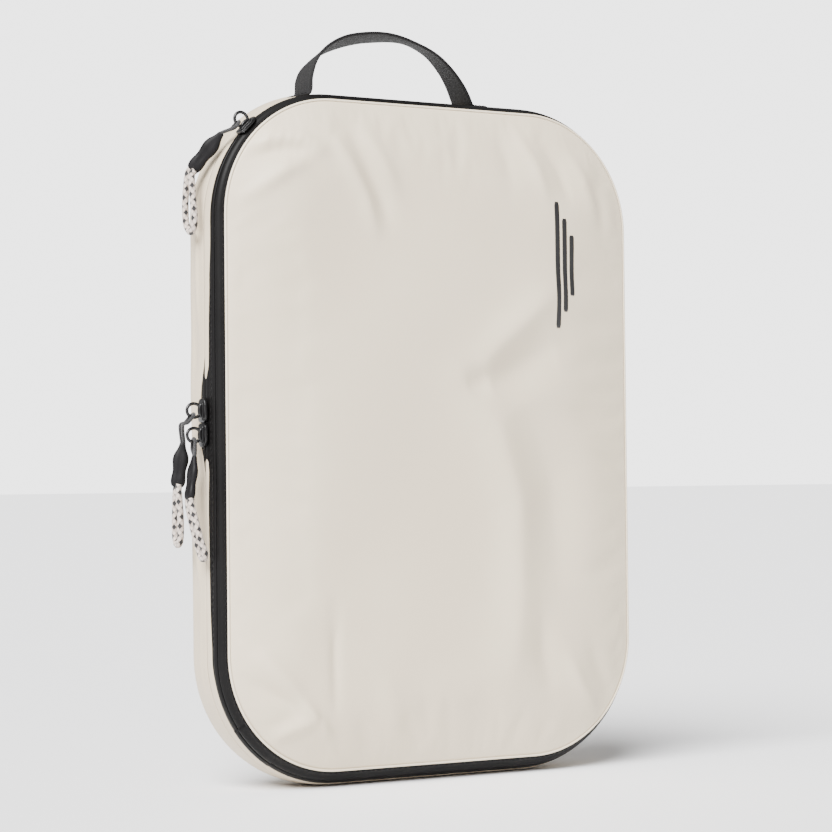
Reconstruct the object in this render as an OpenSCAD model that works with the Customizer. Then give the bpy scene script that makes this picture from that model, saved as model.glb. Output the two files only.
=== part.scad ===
// Compression packing cube: a soft zip-up case that stands on its bottom edge.
// X is across, Y is the depth with the front facing -Y, Z is up. The origin is at
// the middle of the flat stretch of the base.

/* [Case] */
// Distance of each corner's centre from the middle plane, across
corner_x = 60; // [50:1:70]
// Distance of each corner's centre from mid-height
corner_z = 113; // [100:1:125]
// Corner radius of the widest stretch of the side walls
wall_r = 69; // [69:1:72]
// How far the front panel swells forward of its edge
front_crown = 11; // [6:1:14]
// How far the back panel swells behind its edge
back_crown = 7; // [4:1:10]
// Thickness of the coated fabric with its lining
fabric_t = 1; // [0.8:0.1:1]

/* [Zippers] */
// Thickness of the zipper tapes
tape_t = 0.8; // [0.6:0.1:0.8]
// Depth of the lid's zipper line
access_y = -6; // [-6:0.5:-5.5]
// Depth of the compression zipper line
compression_y = -15.6; // [-15.6:0.1:-15.4]
// Half of the zipperless stretch on the hinge side
hinge_half = 88; // [70:1:100]
// Height of the point where the two lid sliders meet, above mid-height
sliders_meet = 8; // [0:0.5:12]

/* [Pulls] */
// Diameter of the cord loops
cord_d = 3; // [2.5:0.5:3]
// Thickness of the moulded pulls
pull_t = 4.4; // [3.5:0.1:4.4]

/* [Handle] */
// Width of the webbing
web_w = 20; // [15:1:22]
// Thickness of the webbing
web_t = 1.6; // [1:0.1:2]
// Outer face of the left leg
handle_left = -67; // [-70:1:-40]
// Outer face of the right leg
handle_right = 32; // [20:1:40]
// Height of the arch above the case
handle_rise = 34; // [30:1:40]

/* [Hidden] */
mid_z = corner_z + wall_r;
top_z = 2 * mid_z;
front_y = -22;
back_y = 18;
arc_steps = 12;
small = 0.2;

front_r = wall_r - 6;
band_r = wall_r - 2.5;
back_r = wall_r - 7;
coil_depth = 2.4;
coil_width = 2.1;
coil_gap = 0.3;
slider_gap = 0.5;
plate_t = 1.4;
ring_w = 5.8;
ring_hole_r = 2.7;
ring_r = 4.4;
ring_half = 1.1;
link_r = 0.8;
link_half = 2.2;
link_drop = 1.75;
slider_half = 6.2;
post_l = 8;
post_t = 0.4;
wing_l = 11;
wing_w = 5;
wing_t = 1.2;

// The turning line of the handle, and of the webbing's rounded ends.
handle_pivot_z = top_z + web_w / 2 + web_t + 0.6;

// Routes of the three cord loops, from the pull's end round and back.
upper_route = [
    [-139.2, 3.6, 156.2], [-139.2, 2.8, 151], [-139, 2, 144], [-139, 1.6, 137],
    [-139, 2, 131.5], [-139, 3.2, 128.5], [-139, 5, 127.5], [-139, 6.8, 128.5],
    [-139, 8, 131.5], [-139, 8.4, 137], [-139, 8, 144], [-139.2, 7.2, 151],
    [-139.2, 6.4, 155.8]
];
lower_route = [
    [-138.9, -10.2, 149], [-138.5, -12.5, 144], [-137.5, -14.5, 137], [-136, -15.5, 130],
    [-134, -15.5, 124.5], [-133.2, -14.5, 121.8], [-133, -12.5, 120.6], [-133, -10.2, 121.2],
    [-133.5, -8.8, 124.5], [-134.8, -8, 130], [-136.5, -7.5, 137], [-138, -7, 144],
    [-138.8, -6.9, 149.6]
];
corner_route = [
    [-133, -2.2, 318], [-133.6, -3.5, 313.5], [-134, -5.5, 305], [-134, -7, 297],
    [-134, -7, 291], [-134, -5.5, 287.5], [-134, -3, 286.5], [-134, -0.5, 287.5],
    [-134.5, 1.5, 291], [-134.5, 2.5, 297], [-134.5, 2.5, 305], [-134, 2, 313],
    [-133.2, 1.5, 319.3]
];

// Each pull: where its link hangs, the knee of the link, and the moulding's two ends.
left_pin_x = -(corner_x + wall_r + ring_w);
upper_slider_z = mid_z + sliders_meet + slider_half + 0.1;
lower_slider_z = mid_z + sliders_meet - slider_half - 0.1;
upper_pin = [left_pin_x, access_y, upper_slider_z - link_drop];
upper_knee = [-140.4, -3.2, 188.5];
upper_link_half = 3.5;
upper_top = [-136.8, 3, 180];
upper_end = [-139.2, 5, 157];
lower_pin = [left_pin_x, access_y, lower_slider_z - link_drop];
lower_knee = [-134.9, -6.3, 178];
lower_top = [-135, -7, 173.2];
lower_end = [-138.9, -8.5, 150.6];
corner_pin = [
    -corner_x - (band_r + ring_w + link_drop) * cos(45), compression_y,
    mid_z + corner_z + (band_r + ring_w - link_drop) * sin(45)
];
corner_knee = corner_pin - 4.5 * [cos(45), 0, sin(45)];
corner_top = [-119.8, -11, 339.3];
corner_end = [-132.1, 0, 320.3];

// One arc of a corner with its centre at side * (corner_x, corner_z).
function arc(side, r, from) = [
    for (i = [0:arc_steps])
        let (a = from + 90 * i / arc_steps)
        [side[0] * corner_x + r * cos(a), side[1] * corner_z + mid_z + r * sin(a)]
];

// The closed outline with corner radius r, as [x, z] points.
function outline(r) = concat(
    arc([1, 1], r, 0), arc([-1, 1], r, 90), arc([-1, -1], r, 180), arc([1, -1], r, 270)
);

// The same outline, open along the hinge side between plus and minus half.
function open_outline(r, half) = concat(
    [[corner_x + r, mid_z + half]], outline(r), [[corner_x + r, mid_z - half]]
);

// Faces of a lattice of points, count along by across, with both ways closed or one open.
function lattice(count, across, closed) = [
    for (i = [0:count - (closed ? 1 : 2)], j = [0:across - 1])
        let (i2 = (i + 1) % count, j2 = (j + 1) % across)
        each [
            [i * across + j, i2 * across + j, i2 * across + j2],
            [i * across + j, i2 * across + j2, i * across + j2]
        ]
];

// A closed ring whose section is a list of [radius, depth], counter-clockwise in that plane.
module ring(section) {
    across = len(section);
    rows = [for (s = section) outline(s[0])];
    count = len(rows[0]);
    points = [for (i = [0:count - 1], j = [0:across - 1])
        [rows[j][i][0], section[j][1], rows[j][i][1]]];
    polyhedron(points, lattice(count, across, true));
}

// The same section along three sides, open on the hinge side.
module open_ring(section, half) {
    across = len(section);
    rows = [for (s = section) open_outline(s[0], half)];
    count = len(rows[0]);
    points = [for (i = [0:count - 1], j = [0:across - 1])
        [rows[j][i][0], section[j][1], rows[j][i][1]]];
    caps = [
        [for (j = [0:across - 1]) j],
        [for (j = [across - 1:-1:0]) (count - 1) * across + j]
    ];
    polyhedron(points, concat(lattice(count, across, false), caps));
}

// A plain rectangular section between two radii and two depths.
function band(r_in, r_out, y_low, y_high) =
    [[r_in, y_low], [r_out, y_low], [r_out, y_high], [r_in, y_high]];

// A crowned panel: facing is -1 for the front and 1 for the back.
module panel(edge_r, edge_y, crown, facing) {
    rings = 7;
    inset = edge_r - 8;
    function rise(k) = crown * (1 - pow(1 - k / rings, 2.2));
    outer = [for (k = [0:rings]) let (o = outline(edge_r - inset * k / rings))
        [for (p = o) [p[0], edge_y + facing * rise(k), p[1]]]];
    inner = [for (k = [rings:-1:0]) [for (p = outer[k]) p - [0, facing * fabric_t, 0]]];
    rows = concat(outer, inner);
    count = len(outer[0]);
    across = len(rows);
    points = [for (i = [0:count - 1], j = [0:across - 1]) rows[j][i]];
    open_lattice = [
        for (i = [0:count - 1], j = [0:across - 1])
            if (j != rings)
                let (i2 = (i + 1) % count, j2 = (j + 1) % across)
                each [
                    [i * across + j, i2 * across + j, i2 * across + j2],
                    [i * across + j, i2 * across + j2, i * across + j2]
                ]
    ];
    caps = [
        [for (i = [0:count - 1]) i * across + rings],
        [for (i = [count - 1:-1:0]) i * across + rings + 1]
    ];
    faces = concat(open_lattice, caps);
    polyhedron(points, facing < 0 ? faces : [for (f = faces) [for (i = [len(f) - 1:-1:0]) f[i]]]);
}

function unit(v) = v / norm(v);

// A tube of eight sides along a route that never runs along X.
module cord(route, diameter) {
    last = len(route) - 1;
    sides = 8;
    points = [
        for (i = [0:last])
            let (
                t = unit(route[min(i + 1, last)] - route[max(i - 1, 0)]),
                s = unit(cross(t, [1, 0, 0])),
                n = cross(s, t)
            )
            for (k = [0:sides - 1])
                let (a = 360 * k / sides)
                route[i] + diameter / 2 * (cos(a) * s + sin(a) * n)
    ];
    caps = [
        [for (k = [0:sides - 1]) k],
        [for (k = [sides - 1:-1:0]) last * sides + k]
    ];
    polyhedron(points, concat(lattice(last + 1, sides, false), caps));
}

// Placed with its long axis from top to end and its width along the given direction.
module along(top, end, wide) {
    z = unit(end - top);
    y = unit(cross(z, wide));
    x = cross(y, z);
    multmatrix([
        [x[0], y[0], z[0], top[0]], [x[1], y[1], z[1], top[1]],
        [x[2], y[2], z[2], top[2]], [0, 0, 0, 1]
    ]) children();
}

// A moulded pull: narrow neck, swelling grip, waist and flared end.
module pull(top, end, wide) {
    long = norm(end - top);
    half = [1.6, 2.7, 3.9, 4.1, 3.6, 3.2, 3.6, 3.7, 2.9];
    last = len(half) - 1;
    edge = [for (i = [0:last]) [half[i], long * i / last]];
    back = [for (i = [last:-1:0]) [-half[i], long * i / last]];
    color([0.14, 0.13, 0.15]) along(top, end, wide)
        translate([0, pull_t / 2, 0]) rotate([90, 0, 0]) linear_extrude(pull_t) polygon(concat(edge, back));
}

// The link from the slider's ring to the pull: it runs through the ring and has two legs.
module link(pin, knee, top, half) {
    leg = [0, half, 0];
    foot = [0, link_half - 1.2, 0];
    inner = [0, half - 0.8, 0];
    bend = pin + link_r * unit(knee - pin);
    color([0.1, 0.1, 0.11]) cord([
        top + foot, knee + leg, bend + leg, pin + inner,
        pin - inner, bend - leg, knee - leg, top - foot
    ], 2 * link_r);
}

// A zipper slider's outer wing and its ring: the zipper runs along X, depth is Y and
// outward is Z, with the outer face of the tape at Z = 0.
module slider() {
    color([0.09, 0.09, 0.1]) {
        translate([0, 0, slider_gap]) linear_extrude(plate_t) polygon([
            [-slider_half, -3.2], [-4.5, -4.5], [3, -4.5], [slider_half, -2.8],
            [slider_half, 2.8], [3, 4.5], [-4.5, 4.5], [-slider_half, 3.2]
        ]);
        difference() {
            union() {
                translate([0, ring_half, ring_w]) rotate([90, 0, 0])
                    cylinder(h = 2 * ring_half, r = ring_r, $fn = 48);
                translate([-4, -ring_half, slider_gap + plate_t / 2]) cube([8, 2 * ring_half, 3]);
            }
            translate([0, ring_half + 1, ring_w]) rotate([90, 0, 0])
                cylinder(h = 2 * ring_half + 2, r = ring_hole_r, $fn = 48);
        }
    }
}

// The slider's inner wing behind the coils, and the post that joins it to the outer wing.
module slider_post() {
    inner = tape_t + 0.1 + coil_depth + slider_gap;
    color([0.09, 0.09, 0.1]) {
        translate([-post_l / 2, -post_t / 2, -inner]) cube([post_l, post_t, inner + slider_gap]);
        translate([-wing_l / 2, -wing_w / 2, -inner - wing_t]) cube([wing_l, wing_w, wing_t]);
    }
}

module on_left(z) {
    translate([-corner_x - wall_r, access_y, z]) rotate([0, -90, 0]) children();
}

module on_corner() {
    translate([-corner_x, compression_y, mid_z + corner_z]) rotate([0, -45, 0])
        translate([0, 0, band_r]) children();
}

// A flat patch over one side of the compression zipper's join, on the lower left corner.
module join_patch(y_low, y_high) {
    color([0.13, 0.13, 0.14]) translate([-corner_x, y_high, mid_z - corner_z]) rotate([90, 0, 0])
        rotate([0, 0, 221]) rotate_extrude(angle = 8, $fn = 180)
            translate([band_r + 0.1, 0]) square([0.6, y_high - y_low]);
}

module back_panel() { color([0.84, 0.81, 0.77]) panel(back_r - small, back_y + 0.4, back_crown, 1); }

module rear_gusset() {
    o = wall_r;
    color([0.84, 0.81, 0.77]) ring([
        [o - 1, -0.7], [o, -0.7], [o, 9], [o - 0.7, 12.5], [o - 2.5, 15.5], [o - 5, 17.6], [o - 7, 18.4],
        [o - 7, 17.3], [o - 5.6, 16.7], [o - 3.3, 14.7], [o - 1.6, 12], [o - 1, 8.9]
    ]);
}

module rear_seam_binding() {
    color([0.2, 0.2, 0.21]) ring(band(back_r - 2, back_r - small, 14.6, 16.9));
}

module access_tape_rear() {
    color([0.13, 0.13, 0.14])
        open_ring(band(wall_r - tape_t, wall_r, access_y + coil_gap, -0.9), hinge_half);
}

module access_coil_rear() {
    outer = wall_r - tape_t - 0.1;
    y = access_y + coil_gap;
    color([0.08, 0.08, 0.09]) open_ring(band(outer - coil_depth, outer, y, y + coil_width), hinge_half);
}

module hinge_strip() {
    color([0.13, 0.13, 0.14]) translate([corner_x + wall_r - tape_t, -9.1, mid_z - hinge_half + 4])
        cube([tape_t, 8.2, 2 * hinge_half - 8]);
}

module access_end_stops() {
    color([0.08, 0.08, 0.09]) for (side = [-1, 1])
        translate([corner_x + wall_r - 1.6, access_y + coil_gap, mid_z + side * (hinge_half - 2) - 1.5])
            cube([2, 4, 3]);
}

module access_tape_front() {
    in_r = wall_r - 3;
    color([0.13, 0.13, 0.14]) open_ring([
        [in_r, -10.2], [wall_r, -10.2], [wall_r, access_y - coil_gap], [wall_r - tape_t, access_y - coil_gap],
        [wall_r - tape_t, -9.4], [in_r, -9.4]
    ], hinge_half);
}

module access_coil_front() {
    outer = wall_r - tape_t - 0.1;
    y = access_y - coil_gap;
    color([0.08, 0.08, 0.09]) open_ring(band(outer - coil_depth, outer, y - coil_width, y), hinge_half);
}

module lid_seam_binding() {
    color([0.2, 0.2, 0.21]) ring(band(wall_r - 4.7, wall_r - 3.5, -12.9, -10.6));
}

// The folded fabric that lets the case grow when the compression zipper is open.
module expansion_gusset() {
    color([0.72, 0.7, 0.66]) ring([
        [wall_r - 10.5, -20], [wall_r - 8, -20], [wall_r - 8, -12.9], [wall_r - 4.9, -12.9],
        [wall_r - 4.9, -11.9], [wall_r - 10.5, -11.9]
    ]);
}

module compression_tape_rear() {
    color([0.13, 0.13, 0.14]) ring(band(band_r - tape_t, band_r, compression_y + coil_gap, -10.4));
}

module compression_coil_rear() {
    outer = band_r - tape_t - 0.1;
    y = compression_y + coil_gap;
    color([0.08, 0.08, 0.09]) ring(band(outer - coil_depth, outer, y, y + coil_width));
}

module zip_join_rear() { join_patch(compression_y + 1, -10.6); }

module front_panel() { color([0.85, 0.82, 0.78]) panel(front_r - 0.8, front_y - 0.4, front_crown, -1); }

module front_edge_trim() {
    color([0.9, 0.88, 0.84]) ring(band(front_r - 0.7, front_r + 0.5, front_y - 0.8, front_y + 0.6));
}

module compression_tape_front() {
    color([0.13, 0.13, 0.14]) ring([
        [front_r - 1, front_y + 0.8], [band_r, front_y + 0.8], [band_r, compression_y - coil_gap],
        [band_r - tape_t, compression_y - coil_gap], [band_r - tape_t, front_y + 1.6],
        [front_r - 1, front_y + 1.6]
    ]);
}

module compression_coil_front() {
    outer = band_r - tape_t - 0.1;
    y = compression_y - coil_gap;
    color([0.08, 0.08, 0.09]) ring(band(outer - coil_depth, outer, y - coil_width, y));
}

module zip_join_front() { join_patch(front_y + 1, compression_y - 1); }

// A plain printed mark: three upright bars of falling length.
module front_mark() {
    face = front_y - 0.4 - front_crown - 0.6;
    color([0.12, 0.12, 0.13]) for (i = [0:2])
        translate([72 + 5 * i, face, mid_z + 94]) rotate([90, 0, 0])
            linear_extrude(0.3) offset(1.4) square([0.4, 66 - 18 * i], center = true);
}

module upper_slider() { on_left(upper_slider_z) slider(); }
module lower_slider() { on_left(lower_slider_z) mirror([1, 0, 0]) slider(); }
module compression_slider() { on_corner() slider(); }

module upper_slider_post() { on_left(upper_slider_z) slider_post(); }
module lower_slider_post() { on_left(lower_slider_z) slider_post(); }
module compression_slider_post() { on_corner() slider_post(); }

module upper_pull_link() { link(upper_pin, upper_knee, upper_top + [0, 0, 0.9], upper_link_half); }
module lower_pull_link() { link(lower_pin, lower_knee, lower_top + [0, 0, 0.9], link_half); }
module compression_pull_link() {
    link(corner_pin, corner_knee, corner_top - 0.9 * unit(corner_end - corner_top), link_half);
}

module upper_pull() { pull(upper_top, upper_end, [0.86, -0.51, 0]); }
module lower_pull() { pull(lower_top, lower_end, [0, 1, 0]); }
module compression_pull() { pull(corner_top, corner_end, [0.65, -0.39, -0.65]); }

module upper_cord_loop() { color([0.82, 0.8, 0.78]) cord(upper_route, cord_d); }
module lower_cord_loop() { color([0.82, 0.8, 0.78]) cord(lower_route, cord_d); }
module compression_cord_loop() { color([0.82, 0.8, 0.78]) cord(corner_route, cord_d); }

// The sewn-down end of the webbing on top of the case.
module handle_tab(x) {
    color([0.12, 0.12, 0.13]) translate([x - 12, -web_w / 2, top_z + 0.1]) cube([24, web_w, web_t - 0.4]);
}

module handle_tab_left() { handle_tab(handle_left + 1); }
module handle_tab_right() { handle_tab(handle_right - 1); }

// The arch of webbing, with rounded ends where it turns.
module handle_webbing() {
    bend = 22;
    outer_top = top_z + handle_rise;
    color([0.12, 0.12, 0.13]) {
        translate([0, web_w / 2, 0]) rotate([90, 0, 0]) linear_extrude(web_w) difference() {
            arch(handle_left, handle_right, outer_top, bend);
            arch(handle_left + web_t, handle_right - web_t, outer_top - web_t, bend - web_t);
        }
        for (x = [handle_left, handle_right - web_t])
            translate([x, 0, handle_pivot_z]) rotate([0, 90, 0]) cylinder(h = web_t, r = web_w / 2, $fn = 64);
    }
}

// The area under an arch with square feet at the pivot's height and round shoulders.
module arch(left, right, top, bend) {
    translate([left, handle_pivot_z]) square([right - left, top - bend - handle_pivot_z]);
    translate([left + bend, handle_pivot_z]) square([right - left - 2 * bend, top - handle_pivot_z]);
    for (x = [left + bend, right - bend]) intersection() {
        translate([x, top - bend]) circle(bend, $fn = 96);
        translate([left, handle_pivot_z]) square([right - left, top - handle_pivot_z]);
    }
}

back_panel();
rear_gusset();
rear_seam_binding();
access_tape_rear();
access_coil_rear();
hinge_strip();
access_end_stops();
handle_tab_left();
handle_tab_right();
access_tape_front();
access_coil_front();
lid_seam_binding();
expansion_gusset();
compression_tape_rear();
compression_coil_rear();
zip_join_rear();
front_panel();
front_edge_trim();
compression_tape_front();
compression_coil_front();
zip_join_front();
front_mark();
upper_slider();
upper_slider_post();
upper_pull_link();
upper_pull();
upper_cord_loop();
lower_slider();
lower_slider_post();
lower_pull_link();
lower_pull();
lower_cord_loop();
compression_slider();
compression_slider_post();
compression_pull_link();
compression_pull();
compression_cord_loop();
handle_webbing();
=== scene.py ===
"""A compression packing cube: fabric shells, zippers, corded pulls and a webbing handle."""

import math

import bmesh
import bpy
import numpy as np
from mathutils import Matrix, Vector
from mathutils.bvhtree import BVHTree


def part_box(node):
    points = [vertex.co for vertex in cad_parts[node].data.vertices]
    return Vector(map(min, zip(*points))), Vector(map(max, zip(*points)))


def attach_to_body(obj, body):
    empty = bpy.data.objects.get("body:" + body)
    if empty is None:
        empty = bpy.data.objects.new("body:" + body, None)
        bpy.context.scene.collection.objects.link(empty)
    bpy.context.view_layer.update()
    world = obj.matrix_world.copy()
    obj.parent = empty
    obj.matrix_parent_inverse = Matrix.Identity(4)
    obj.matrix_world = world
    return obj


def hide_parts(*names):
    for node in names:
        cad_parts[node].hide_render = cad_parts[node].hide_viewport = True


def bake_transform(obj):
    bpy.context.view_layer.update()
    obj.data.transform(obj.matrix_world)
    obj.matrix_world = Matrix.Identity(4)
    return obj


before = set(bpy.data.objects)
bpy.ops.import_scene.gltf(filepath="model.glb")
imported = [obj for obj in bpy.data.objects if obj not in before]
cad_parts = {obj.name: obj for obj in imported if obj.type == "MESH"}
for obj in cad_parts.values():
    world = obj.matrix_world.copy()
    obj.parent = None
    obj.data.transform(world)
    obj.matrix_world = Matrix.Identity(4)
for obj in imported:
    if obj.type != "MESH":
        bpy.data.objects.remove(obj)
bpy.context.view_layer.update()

# ---------------- driving sizes, in millimetres
MM = 0.001


def node_box(node):
    """A CAD node's lowest and highest corners, in millimetres."""
    low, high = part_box(node)
    return np.array(low) / MM, np.array(high) / MM


wall_low, wall_high = node_box("rear_gusset")
half_width = (wall_high[0] - wall_low[0]) / 2
mid_z = (wall_low[2] + wall_high[2]) / 2
half_height = (wall_high[2] - wall_low[2]) / 2
front_y = node_box("compression_tape_front")[0][1] - 0.8
front_lift = 2.0  # the front seam sits this much above the middle of the wall
hinge_half = node_box("hinge_strip")[1][2] - mid_z + 4
COMPRESSION_S = 6.4  # depth of the compression zipper line behind the front seam
ACCESS_S = 16.0  # depth of the lid's zipper line
BACK_S = 40.3  # depth of the back seam
GUTTER = 0.3  # half of the gap between two tapes

# Depth behind the front seam, then how far the outline is inside the widest wall across
# and upwards, and its corner radius.
PROFILE = [
    (-3, 5.6, 7.6, 62.4), (0, 5.0, 7.0, 62.7), (5, 2.6, 3.6, 66.0), (11.6, 0.9, 1.0, 69.0),
    (18, 0.5, 0.3, 70.0), (24, 0.3, 0.0, 70.2), (31, 0.8, 0.0, 69.6), (35.5, 2.2, 2.0, 68.2),
    (38.5, 4.4, 4.4, 66.0), (40.3, 6.6, 6.6, 63.6), (43, 10.0, 10.0, 60.0),
]
ARC_STEPS, TOP_STEPS, SIDE_STEPS = 24, 24, 44


def soften(values, kernel, ends="edge"):
    """The values smoothed by a short kernel; ends is how they go on past the ends."""
    kernel = np.array(kernel, float) / np.sum(kernel)
    return np.convolve(np.pad(values, len(kernel) // 2, mode=ends), kernel, mode="valid")


def smooth_table():
    """PROFILE resampled every quarter millimetre and softened, so that the wall has no creases."""
    table = np.array(PROFILE, float)
    s = np.arange(table[0, 0] - 4, table[-1, 0] + 4, 0.25)
    return s, [soften(np.interp(s, table[:, 0], column), np.hanning(19)[1:-1]) for column in table.T[1:]]


TABLE_S, TABLE = smooth_table()


def size_at(s):
    """Half width, half height, corner radius and centre height of the wall at depth s."""
    inset_x, inset_z, radius = (np.interp(s, TABLE_S, column) for column in TABLE)
    lift = front_lift * np.clip(1 - s / 11, 0, 1)
    return half_width - inset_x, half_height - inset_z, radius, mid_z + lift


def outline_frame():
    """For each outline point: its corner's signs, its angle, and how far along a straight it is."""
    rows = []
    corners = [(1, 1), (-1, 1), (-1, -1), (1, -1)]
    for k, sign in enumerate(corners):
        rows += [(sign, sign, 90 * (k + i / ARC_STEPS), 0.0) for i in range(ARC_STEPS + 1)]
        count = TOP_STEPS if k % 2 == 0 else SIDE_STEPS
        following = corners[(k + 1) % 4]
        rows += [(sign, following, 90 * (k + 1), i / (count + 1)) for i in range(1, count + 1)]
    return rows


SIGN_A, SIGN_B, RIM_TURN, ALONG = (np.array(column, float) for column in zip(*outline_frame()))
RIM_COUNT, RIM_ANGLE = len(ALONG), np.radians(RIM_TURN)
RIM_NORMAL = np.stack([np.cos(RIM_ANGLE), 0 * RIM_ANGLE, np.sin(RIM_ANGLE)], axis=1)


def skin(s, off=0.0):
    """The wall's outline at depth s, pushed out by off; both may vary along it."""
    s = np.broadcast_to(np.asarray(s, float), (RIM_COUNT,))
    hw, hh, radius, middle = size_at(s)
    signs = SIGN_A + (SIGN_B - SIGN_A) * ALONG[:, None]
    x = signs[:, 0] * (hw - radius) + (radius + off) * RIM_NORMAL[:, 0]
    z = signs[:, 1] * (hh - radius) + (radius + off) * RIM_NORMAL[:, 2] + middle
    return np.stack([x, s + front_y, z], axis=1)


# The right side's straight ends the outline. Part of it is the hinge, with no zipper.
RIGHT_SIDE = range(RIM_COUNT - SIDE_STEPS, RIM_COUNT)
ABOVE_MIDDLE = skin(ACCESS_S)[:, 2] - mid_z
OPEN = [i for i in RIGHT_SIDE if ABOVE_MIDDLE[i] > hinge_half]
OPEN += [*range(RIGHT_SIDE[0]), *(i for i in RIGHT_SIDE if ABOVE_MIDDLE[i] < -hinge_half)]


def add_object(name, data):
    obj = bpy.data.objects.new(name, data)
    bpy.context.collection.objects.link(obj)
    return obj


# ---------------- camera
VIEW_AZIMUTH, VIEW_ELEVATION, VIEW_ROLL = (math.radians(turn) for turn in (-31.0, -1.0, -0.58))
VIEW_DISTANCE = 1.3425
VIEW_LENS = 108.9
AIM_LEFT, AIM_UP = 0.01045, 0.0097  # the axis passes this far left of and above the front's centre


def make_camera():
    """The camera stands left of the front and a little below its middle, and is tilted slightly."""
    level = math.cos(VIEW_ELEVATION)
    right = Vector((math.cos(VIEW_AZIMUTH), math.sin(VIEW_AZIMUTH), 0))
    back = Vector((right.y * level, -right.x * level, math.sin(VIEW_ELEVATION)))
    centre = Vector((0, front_y, mid_z + front_lift)) * MM
    eye = centre + back * VIEW_DISTANCE
    look = (centre - right * AIM_LEFT + back.cross(right) * AIM_UP - eye).normalized()
    side = look.cross(Vector((0, 0, 1))).normalized()
    axes = Matrix((side, side.cross(look), -look)).transposed().to_4x4()
    camera = add_object("camera", bpy.data.cameras.new("camera"))
    camera.data.lens, camera.data.sensor_width, camera.data.clip_end = VIEW_LENS, 36, 50
    camera.matrix_world = Matrix.Translation(eye) @ axes @ Matrix.Rotation(VIEW_ROLL, 4, "Z")
    bpy.context.scene.camera = camera


make_camera()


# ---------------- materials
def rgb(r, g, b):
    """A display colour from 0 to 255 as linear light."""
    return tuple(((c / 255 + 0.055) / 1.055) ** 2.4 if c > 10 else c / 255 / 12.92 for c in (r, g, b))


def scaled(colour, factor):
    return tuple(c * factor for c in colour)


class Nodes:
    """A short way to build a node material."""

    def __init__(self, name):
        self.material = bpy.data.materials.new(name)
        self.material.use_nodes = True
        self.tree = self.material.node_tree
        self.bsdf = self.tree.nodes["Principled BSDF"]

    def feed(self, socket, value):
        if isinstance(value, bpy.types.NodeSocket):
            self.tree.links.new(value, socket)
        else:
            socket.default_value = value

    def add(self, kind, *ordered, **named):
        """A node, with its first inputs in order and the rest, or its settings, by name."""
        node = self.tree.nodes.new("ShaderNode" + kind)
        for key, value in named.items():
            if key in node.inputs:
                self.feed(node.inputs[key], value)
            else:
                setattr(node, key, value)
        for socket, value in zip(node.inputs, ordered):
            self.feed(socket, value)
        return node

    def math(self, operation, *values):
        return self.add("Math", *values, operation=operation).outputs[0]

    def ramp(self, value, low, high, *to):
        """The value from low to high turned into 0 to 1, or into the two numbers that follow."""
        return self.add("MapRange", value, low, high, *to).outputs[0]

    def mix(self, factor, a, b):
        node = self.add("Mix", factor, data_type="RGBA")
        for socket, value in ((node.inputs[6], a), (node.inputs[7], b)):
            self.feed(socket, (*value, 1) if isinstance(value, tuple) else value)
        return node.outputs[2]

    def place(self):
        return self.add("TexCoord").outputs["Object"]

    def split(self, vector):
        return self.add("SeparateXYZ", vector).outputs[:]

    def noise(self, scale, detail=2.0, rough=0.5):
        return self.add(
            "TexNoise", Vector=self.place(), Scale=scale, Detail=detail, Roughness=rough
        ).outputs["Fac"]

    def wave(self, value, period):
        return self.math("SINE", self.math("MULTIPLY", value, 2 * math.pi / period))

    def crossed(self, a, b):
        """Two waves crossed, from 0 to 1."""
        return self.math("MULTIPLY_ADD", self.math("MULTIPLY", a, b), 0.5, 0.5)

    def weave(self, thread):
        """A plain weave in space, with threads this far apart in metres."""
        x, y, z = self.split(self.place())
        return self.crossed(self.wave(self.math("ADD", x, y), 2 * thread), self.wave(z, 2 * thread))

    def bump(self, height, strength, distance, under=None):
        node = self.add("Bump", Strength=strength, Distance=distance, Height=height)
        if under is not None:
            self.feed(node.inputs["Normal"], under)
        return node.outputs[0]

    def finish(self, **values):
        for key, value in values.items():
            self.feed(self.bsdf.inputs[key.replace("_", " ")], value)
        return self.material


FABRIC_THREAD = 0.00045


def coated_fabric(name, light, dark, thread=FABRIC_THREAD, rough=0.5):
    """Coated nylon: a fine weave under a satin film, with soft tone changes and faint scuffs."""
    n = Nodes(name)
    grain = n.noise(900, 2, 0.6)
    colour = n.mix(n.ramp(n.noise(9, 3, 0.55), 0.3, 0.7), dark, light)
    soft = n.bump(n.noise(28, 3, 0.5), 0.25, 0.0012)
    fine = n.bump(n.weave(thread), 0.22, 0.00006, soft)
    return n.finish(
        Base_Color=n.mix(n.ramp(grain, 0.35, 0.65, 0.0, 0.12), colour, scaled(light, 0.86)),
        Roughness=n.ramp(n.noise(60, 5, 0.7), 0.3, 0.7, rough - 0.05, rough + 0.08),
        Normal=n.bump(grain, 0.2, 0.00005, fine),
        Sheen_Weight=0.12,
        Sheen_Roughness=0.4,
        Specular_IOR_Level=0.42,
    )


def tape_fabric(name, light, dark, rough=0.42):
    """A smooth film over a twill zipper tape: faint diagonal ribs and dust on its raised parts."""
    n = Nodes(name)
    x, y, z = n.split(n.place())
    rib = n.wave(n.math("ADD", n.math("ADD", x, y), z), 0.0009)
    cloud, grain = n.noise(35, 3, 0.6), n.noise(1400, 2, 0.6)
    colour = n.mix(n.ramp(cloud, 0.3, 0.75), dark, light)
    return n.finish(
        Base_Color=n.mix(n.ramp(grain, 0.5, 0.75, 0.0, 0.3), colour, scaled(light, 1.7)),
        Roughness=n.ramp(cloud, 0.3, 0.7, rough - 0.06, rough + 0.08),
        Normal=n.bump(grain, 0.3, 0.00004, n.bump(rib, 0.12, 0.00005)),
        Specular_IOR_Level=0.13,
    )


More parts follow.
